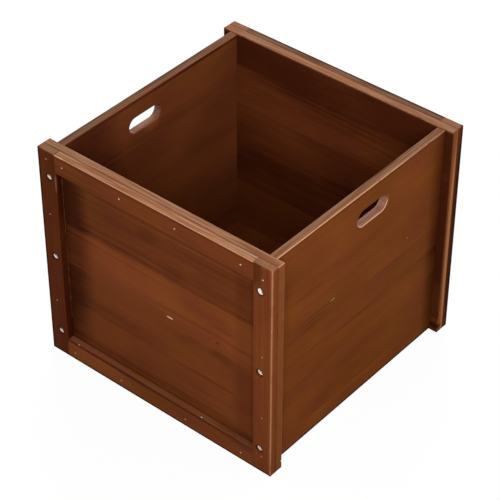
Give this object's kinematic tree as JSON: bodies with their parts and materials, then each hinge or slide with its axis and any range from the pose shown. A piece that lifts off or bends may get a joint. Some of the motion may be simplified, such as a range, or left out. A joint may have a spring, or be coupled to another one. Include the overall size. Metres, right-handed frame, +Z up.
{
  "type": "record storage crate",
  "caption": "Open-topped wooden crate for twelve-inch records, with framed ends, a rounded hand slot in each side board and a thin bottom held in grooves.",
  "frame": {"origin": "centre of the crate's footprint, on the floor that it stands on", "axes": "+Z up, +X from the left side board to the right one, +Y from the front end to the back end"},
  "size_m": [0.378, 0.377, 0.333],
  "materials": {
    "end_panel_wood": "stained, satin",
    "frame_wood": "stained, satin",
    "side_wood": "stained, satin",
    "bottom_sheet": "stained sheet, dull",
    "screw_steel": "zinc plated",
    "brad_steel": "bright"
  },
  "bodies": {
    "root": {"front_end_panel": "end_panel_wood", "front_left_stile": "frame_wood", "front_right_stile": "frame_wood", "front_top_rail": "frame_wood", "front_bottom_rail": "frame_wood", "back_end_panel": "end_panel_wood", "back_left_stile": "frame_wood", "back_right_stile": "frame_wood", "back_top_rail": "frame_wood", "back_bottom_rail": "frame_wood", "left_side_board": "side_wood", "right_side_board": "side_wood", "bottom_panel": "bottom_sheet", "front_left_screws": "screw_steel", "front_right_screws": "screw_steel", "back_left_screws": "screw_steel", "back_right_screws": "screw_steel", "front_rail_brads": "brad_steel", "front_stile_brads": "brad_steel", "back_rail_brads": "brad_steel", "back_stile_brads": "brad_steel"}
  },
  "joints": []
}
